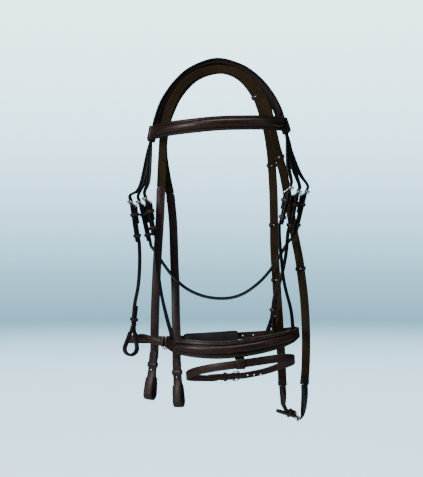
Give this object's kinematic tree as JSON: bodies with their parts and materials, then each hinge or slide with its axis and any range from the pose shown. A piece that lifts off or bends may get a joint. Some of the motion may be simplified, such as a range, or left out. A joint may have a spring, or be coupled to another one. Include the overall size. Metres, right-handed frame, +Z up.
{
  "type": "snaffle bridle",
  "caption": "Leather snaffle bridle hung from its crown: padded browband and crank noseband, flash strap, throatlatch, cheekpieces and web reins with leather bit ends, without a bit.",
  "frame": {"origin": "underside of the reins at the top of the crown, where a bridle bracket holds the bridle", "axes": "+X across the face to the right as seen from the horse's face side, -Y towards that side, +Z up; the bridle hangs along -Z"},
  "size_m": [0.3663, 0.1542, 0.6822],
  "materials": {
    "dark_leather": "oiled, low sheen",
    "brown_leather": "smooth, satin",
    "pad": "matt, pebbled",
    "web": "woven web",
    "steel": "polished"
  },
  "bodies": {
    "headstall": {"headpiece": "dark_leather", "headpiece_padding": "brown_leather", "browband": "brown_leather", "browband_padding": "brown_leather", "rein_web_near": "web", "rein_web_off": "web", "rein_stops": "brown_leather", "rein_stop_rivets": "steel"},
    "throatlatch": {"throat_billets": "dark_leather", "throat_strap": "dark_leather", "throat_buckles": "steel", "throat_keepers": "brown_leather"},
    "noseband": {"noseband_billets": "dark_leather", "noseband_hangers": "dark_leather", "noseband_buckles": "steel", "noseband_keepers": "brown_leather", "noseband_band": "brown_leather", "noseband_padding": "brown_leather", "crank_ring": "steel", "crank_strap": "brown_leather", "chin_pad": "pad", "chin_strap": "brown_leather", "chin_buckle": "steel", "flash_loop": "brown_leather"},
    "flash": {"flash_strap": "brown_leather", "flash_buckle": "steel"},
    "flash_keeper": {"flash_keeper": "brown_leather"},
    "rein_end_near": {"rein_end_near": "brown_leather", "rein_stud_near": "steel", "rein_end_keepers_near": "brown_leather"},
    "rein_end_off": {"rein_end_off": "brown_leather", "rein_stud_off": "steel", "rein_end_keepers_off": "brown_leather"},
    "rein_bight": {"rein_buckle_end": "dark_leather", "rein_billet_end": "dark_leather", "rein_buckle": "steel", "rein_bight_keeper": "brown_leather"},
    "cheek_left": {"cheek_billet_left": "dark_leather", "cheek_strap_left": "brown_leather", "cheek_bit_end_left": "brown_leather", "cheek_buckle_left": "steel", "cheek_keepers_left": "brown_leather", "cheek_stud_left": "steel"},
    "cheek_tongue_left": {"cheek_tongue_left": "steel"},
    "cheek_runner_left": {"cheek_runner_left": "brown_leather"},
    "throat_tongue_left": {"throat_tongue_left": "steel"},
    "noseband_tongue_left": {"noseband_tongue_left": "steel"},
    "cheek_right": {"cheek_billet_right": "dark_leather", "cheek_strap_right": "brown_leather", "cheek_bit_end_right": "brown_leather", "cheek_buckle_right": "steel", "cheek_keepers_right": "brown_leather", "cheek_stud_right": "steel"},
    "cheek_tongue_right": {"cheek_tongue_right": "steel"},
    "cheek_runner_right": {"cheek_runner_right": "brown_leather"},
    "throat_tongue_right": {"throat_tongue_right": "steel"},
    "noseband_tongue_right": {"noseband_tongue_right": "steel"},
    "chin_tongue": {"chin_tongue": "steel"},
    "flash_tongue": {"flash_tongue": "steel"},
    "rein_tongue": {"rein_tongue": "steel"}
  },
  "joints": [
    {"name": "cheek_left_swing", "type": "hinge", "parent": "headstall", "child": "cheek_left", "pos_m": [-0.129, 0, -0.108], "axis": [0, 1, 0], "range_deg": [0, 9]},
    {"name": "cheek_right_swing", "type": "hinge", "parent": "headstall", "child": "cheek_right", "pos_m": [0.121, 0, -0.108], "axis": [0, 1, 0], "range_deg": [0, 4]},
    {"name": "throat_swing", "type": "hinge", "parent": "headstall", "child": "throatlatch", "pos_m": [0, 0.017, -0.108], "axis": [1, 0, 0], "range_deg": [-1.2, 1.2]},
    {"name": "noseband_swing", "type": "hinge", "parent": "headstall", "child": "noseband", "pos_m": [0, -0.023, -0.108], "axis": [1, 0, 0], "range_deg": [-1.2, 0.75]},
    {"name": "flash_swing", "type": "hinge", "parent": "noseband", "child": "flash", "pos_m": [0.008, -0.0852, -0.528], "axis": [1, 0, 0], "range_deg": [0, 10]},
    {"name": "rein_end_near_swing", "type": "hinge", "parent": "headstall", "child": "rein_end_near", "pos_m": [-0.116, 0, -0.202], "axis": [1, 0, 0], "range_deg": [0, 1.5]},
    {"name": "rein_end_off_swing", "type": "hinge", "parent": "headstall", "child": "rein_end_off", "pos_m": [-0.101, 0.03, -0.216], "axis": [1, 0, 0], "range_deg": [-0.8, 0]},
    {"name": "rein_bight_swing", "type": "hinge", "parent": "headstall", "child": "rein_bight", "pos_m": [0.107, 0.02, -0.586], "axis": [1, 0, 0], "range_deg": [-10, 15]},
    {"name": "cheek_tongue_left_lift", "type": "hinge", "parent": "cheek_left", "child": "cheek_tongue_left", "pos_m": [-0.16749, 0.00211, -0.23561], "axis": [0.421, -0.9063, 0.0368], "range_deg": [0, 20]},
    {"name": "cheek_tongue_right_lift", "type": "hinge", "parent": "cheek_right", "child": "cheek_tongue_right", "pos_m": [0.12962, 0.00211, -0.23483], "axis": [0.4082, 0.9063, -0.1094], "range_deg": [0, 20]},
    {"name": "throat_tongue_left_lift", "type": "hinge", "parent": "throatlatch", "child": "throat_tongue_left", "pos_m": [-0.15252, 0.02011, -0.23529], "axis": [0.4174, -0.9063, 0.0661], "range_deg": [0, 20]},
    {"name": "throat_tongue_right_lift", "type": "hinge", "parent": "throatlatch", "child": "throat_tongue_right", "pos_m": [0.14567, 0.02011, -0.23468], "axis": [0.4041, 0.9063, -0.1236], "range_deg": [0, 20]},
    {"name": "noseband_tongue_left_lift", "type": "hinge", "parent": "noseband", "child": "noseband_tongue_left", "pos_m": [-0.13851, -0.01589, -0.23137], "axis": [0.4185, -0.9063, 0.0588], "range_deg": [0, 20]},
    {"name": "noseband_tongue_right_lift", "type": "hinge", "parent": "noseband", "child": "noseband_tongue_right", "pos_m": [0.11364, -0.01589, -0.22675], "axis": [0.4062, 0.9063, -0.1165], "range_deg": [0, 20]},
    {"name": "chin_tongue_lift", "type": "hinge", "parent": "noseband", "child": "chin_tongue", "pos_m": [-0.02, 0.041, -0.49], "axis": [0, 0, 1], "range_deg": [0, 20]},
    {"name": "flash_tongue_lift", "type": "hinge", "parent": "flash", "child": "flash_tongue", "pos_m": [-0.004, 0.007, -0.561], "axis": [0, 0, 1], "range_deg": [0, 20]},
    {"name": "rein_tongue_lift", "type": "hinge", "parent": "rein_bight", "child": "rein_tongue", "pos_m": [0.1058, 0.02, -0.63834], "axis": [0, 1, 0], "range_deg": [0, 20]},
    {"name": "cheek_runner_left_slide", "type": "slide", "parent": "cheek_left", "child": "cheek_runner_left", "axis": [-0.0872, 0, 0.9962], "range_m": [-0.004, 0.006]},
    {"name": "cheek_runner_right_slide", "type": "slide", "parent": "cheek_right", "child": "cheek_runner_right", "axis": [0.2588, 0, 0.9659], "range_m": [-0.004, 0.006]},
    {"name": "flash_keeper_slide", "type": "slide", "parent": "flash", "child": "flash_keeper", "axis": [1, 0, 0], "range_m": [-0.003, 0.003]}
  ]
}
